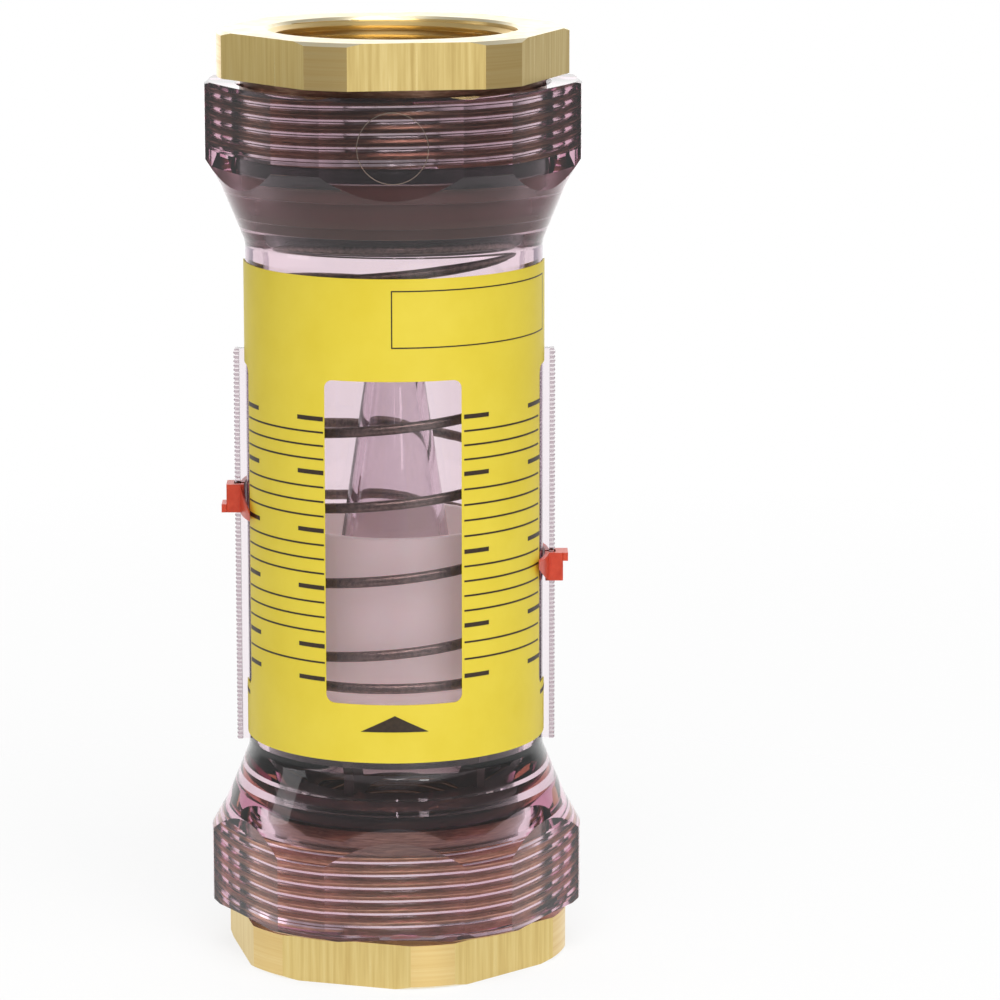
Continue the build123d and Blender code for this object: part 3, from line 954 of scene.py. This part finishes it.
def printed(name, patches):
    """One printed piece made of patches, each a left and right angle and a low and high height."""
    shell = bmesh.new()
    for patch in patches:
        printed_patch(shell, *patch)
    bmesh.ops.remove_doubles(shell, verts=shell.verts, dist=same_mark)
    return finished(smoothed(built(name, shell), 40), "meter", "label_film", ink)


bold = 1.05 * mm
fine = 0.44 * mm
# Heights of the bold marks in mm, and into how many parts the fine marks divide each space between them.
left_bold = [137.2, 124.3, 110.3, 96.5, 82.3, 74.3]
left_parts = [4, 4, 4, 4, 2]
right_bold = [137.7, 124.0, 105.2, 87.3, 75.0]
right_parts = [4, 5, 5, 3]
edge_mark = 65.4 * mm
# Angles between which the marks run, in degrees from the label's middle to the right.
left_inner, left_whole, left_outer = (-38.6, -27.0), (-73.6, -27.0), (-73.6, -62.6)
right_inner, right_whole, right_outer = (27.5, 38.5), (27.5, 72.5), (62.0, 74.0)
left_edge, right_edge = (-89.0, -77.2), (76.0, 89.0)


def scale_marks(bolds, parts, inner, whole, outer):
    """Bold marks at both edges of a scale's column and fine full-width marks between them."""
    patches = []
    for height in bolds:
        middle = height * mm
        patches.append((*inner, middle - bold / 2, middle + bold / 2))
        patches.append((*outer, middle - bold / 2, middle + bold / 2))
    for upper, lower, count in zip(bolds, bolds[1:], parts):
        for part in range(1, count):
            middle = (upper + (lower - upper) * part / count) * mm
            patches.append((*whole, middle - fine / 2, middle + fine / 2))
    return patches


printed("left_scale", scale_marks(left_bold, left_parts, left_inner, left_whole, left_outer))
printed("right_scale", scale_marks(right_bold, right_parts, right_inner, right_whole, right_outer))
printed(
    "edge_marks",
    [(*edge, edge_mark - bold / 2, edge_mark + bold / 2) for edge in (left_edge, right_edge)],
)

arrow_tip = 66.2 * mm
arrow_foot = 62.2 * mm
arrow_left, arrow_middle, arrow_right = -12.6, 0.3, 13.0
arrow_edge = arrow_foot + 0.05 * mm
printed(
    "flow_arrow",
    [
        (arrow_left, arrow_middle, arrow_foot, (arrow_edge, arrow_tip)),
        (arrow_middle, arrow_right, arrow_foot, (arrow_tip, arrow_edge)),
    ],
)
frame_left, frame_right = -0.5, 79.0
frame_low, frame_high = 154.6 * mm, 168.3 * mm
line = 0.3 * mm
line_angle = math.degrees(line / print_radius)
printed(
    "note_frame",
    [
        (frame_left, frame_right, frame_low, frame_low + line),
        (frame_left, frame_right, frame_high - line, frame_high),
        (frame_left, frame_left + line_angle, frame_low + line, frame_high - line),
        (frame_right - line_angle, frame_right, frame_low + line, frame_high - line),
    ],
)

# Pointers. Two red clips of the same moulding, one of them upside down, that slide on the toothed rails. Each
# has a grip ledge, a tapered arm over the scale's edge and a plain arm at the back.
red_plastic, red_tree, red_surface = shader(
    "red_pointer_plastic", Roughness=0.34, Subsurface_Weight=0.1, Subsurface_Scale=0.001
)
red_tree.links.new(
    graded(red_tree, speckle(red_tree, 400), (0.3, colour(206, 62, 34)), (0.75, colour(228, 86, 54))),
    red_surface.inputs["Base Color"],
)
embossed(red_tree, red_surface, speckle(red_tree, 1500), 0.01 * mm)
for pointer_name in ("left_pointer", "right_pointer"):
    nodes[pointer_name].data.materials.clear()
    nodes[pointer_name].data.materials.append(red_plastic)

# Table top. A plain round white board, which the meter stands on. It fades out towards its rim, and it shows
# nearly white to the eye, in the polished brass and through the clear plastic, under the meter's shadow.
table_radius = 0.6
table_whiteness = 0.8


def combined(tree, operation, first, second):
    """The sum, product or maximum of a value and a second value or plain number."""
    result = tree.nodes.new("ShaderNodeMath")
    result.operation = operation
    tree.links.new(first, result.inputs[0])
    if isinstance(second, float):
        result.inputs[1].default_value = second
    else:
        tree.links.new(second, result.inputs[1])
    return result.outputs["Value"]


def blended(tree, share, first, second):
    """Two finishes mixed, where a share of 1 is all of the second."""
    mix = tree.nodes.new("ShaderNodeMixShader")
    tree.links.new(share, mix.inputs["Fac"])
    tree.links.new(first, mix.inputs[1])
    tree.links.new(second, mix.inputs[2])
    return mix.outputs["Shader"]


bpy.ops.mesh.primitive_circle_add(vertices=96, radius=table_radius, fill_type="NGON", location=(0, 0, 0))
table = bpy.context.object
table.name = "table_top"
table_paint, table_tree, table_surface = shader(
    "white_table", Base_Color=colour(250, 250, 250), Roughness=0.9, Specular_IOR_Level=0.1
)
table_place = table_tree.nodes.new("ShaderNodeTexCoord")
table_scale = table_tree.nodes.new("ShaderNodeMapping")
table_scale.inputs["Scale"].default_value = (1 / table_radius,) * 3
table_fade = table_tree.nodes.new("ShaderNodeTexGradient")
table_fade.gradient_type = "SPHERICAL"
table_tree.links.new(table_place.outputs["Object"], table_scale.inputs["Vector"])
table_tree.links.new(table_scale.outputs["Vector"], table_fade.inputs["Vector"])
table_clear = table_tree.nodes.new("ShaderNodeBsdfTransparent")
table_white = table_tree.nodes.new("ShaderNodeEmission")
table_white.inputs["Strength"].default_value = 1.0
table_ray = table_tree.nodes.new("ShaderNodeLightPath")
table_seen = combined(
    table_tree, "MAXIMUM", table_ray.outputs["Is Camera Ray"], table_ray.outputs["Is Glossy Ray"]
)
table_seen = combined(table_tree, "MAXIMUM", table_seen, table_ray.outputs["Is Transmission Ray"])
table_lit = blended(
    table_tree,
    combined(table_tree, "MULTIPLY", table_seen, table_whiteness),
    table_surface.outputs["BSDF"],
    table_white.outputs["Emission"],
)
table_tree.links.new(
    blended(table_tree, table_fade.outputs["Fac"], table_clear.outputs["BSDF"], table_lit),
    table_tree.nodes["Material Output"].inputs["Surface"],
)
table.data.materials.append(table_paint)

# Surroundings. They are white to the eye. Polished faces mirror them dimmer, except far behind the meter and
# on a soft bright side to the right of its front. Through the clear plastic they darken towards the front.
world = bpy.data.worlds.new("studio")
bpy.context.scene.world = world
world.use_nodes = True
sky = world.node_tree
sky.nodes.clear()


def white_light(strength):
    """White light from all round, whose strength is a number or changes with the direction."""
    light = sky.nodes.new("ShaderNodeBackground")
    light.inputs["Color"].default_value = (1, 1, 1, 1)
    if isinstance(strength, float):
        light.inputs["Strength"].default_value = strength
    else:
        sky.links.new(strength, light.inputs["Strength"])
    return light.outputs["Background"]


direction = sky.nodes.new("ShaderNodeTexCoord")
direction_parts = sky.nodes.new("ShaderNodeSeparateXYZ")
sky.links.new(direction.outputs["Generated"], direction_parts.inputs["Vector"])
to_the_back = direction_parts.outputs["Y"]
bright_side = sky.nodes.new("ShaderNodeVectorMath")
bright_side.operation = "DOT_PRODUCT"
bright_side.inputs[1].default_value = (0.375, -0.927, 0)
sky.links.new(direction.outputs["Generated"], bright_side.inputs[0])
mirrored = combined(
    sky,
    "ADD",
    ranged(sky, to_the_back, 0.38, 1.5, 0.6, 1.0),
    ranged(sky, bright_side.outputs["Value"], 0.0, 0.9, 0.914, 0.99),
)
seen_through = ranged(sky, to_the_back, 0.22, 1.0, -0.7, 0.5)
ray = sky.nodes.new("ShaderNodeLightPath")
off_camera = blended(
    sky, ray.outputs["Is Transmission Ray"], white_light(mirrored), white_light(seen_through)
)
sky_output = sky.nodes.new("ShaderNodeOutputWorld")
sky.links.new(
    blended(sky, ray.outputs["Is Camera Ray"], off_camera, white_light(1.0)), sky_output.inputs["Surface"]
)

# Lamps. A small lamp and a somewhat larger key lamp stand in front, a soft box at the left and a large soft
# box overhead, all aimed at the middle of the meter.
lamp_target = Vector((0, 0, 0.11))
# name, degrees round from the front to the right, degrees up, distance, width, height, watts
lamps = [
    ("front_lamp", 1, 13, 1.3, 0.035, 0.08, 0.06),
    ("key_lamp", 22, 13, 1.25, 0.15, 0.12, 0.26),
    ("left_softbox", -84, 8, 1.25, 0.5, 0.35, 0.7),
    ("top_softbox", 10, 60, 1.3, 1.0, 0.8, 13.5),
]
for lamp_name, round_by, up_by, distance, width, tall, watts in lamps:
    lamp_data = bpy.data.lights.new(lamp_name, "AREA")
    lamp_data.shape = "RECTANGLE"
    lamp_data.size = width
    lamp_data.size_y = tall
    lamp_data.energy = watts
    lamp = bpy.data.objects.new(lamp_name, lamp_data)
    azimuth, rise = math.radians(round_by), math.radians(up_by)
    lamp.location = lamp_target + distance * Vector(
        (math.sin(azimuth) * math.cos(rise), -math.cos(azimuth) * math.cos(rise), math.sin(rise))
    )
    lamp.rotation_euler = (lamp_target - lamp.location).to_track_quat("-Z", "Y").to_euler()
    bpy.context.scene.collection.objects.link(lamp)

# Camera. It stands a little above the meter's top and over a metre in front of it, turned slightly to the
# right and tilted down.
camera_place = (0.01387, -1.1032, 0.3294)
camera_turn = math.radians(0.607)
camera_dip = math.radians(11.18)
camera_data = bpy.data.cameras.new("camera")
camera_data.sensor_width = 36
camera_data.lens = 166.2
camera_data.clip_start = 0.05
camera = bpy.data.objects.new("camera", camera_data)
camera.location = camera_place
looking = Vector(
    (
        math.sin(camera_turn) * math.cos(camera_dip),
        math.cos(camera_turn) * math.cos(camera_dip),
        -math.sin(camera_dip),
    )
)
camera.rotation_euler = looking.to_track_quat("-Z", "Y").to_euler()
bpy.context.scene.collection.objects.link(camera)
bpy.context.scene.camera = camera
bpy.context.scene.view_settings.view_transform = "Standard"
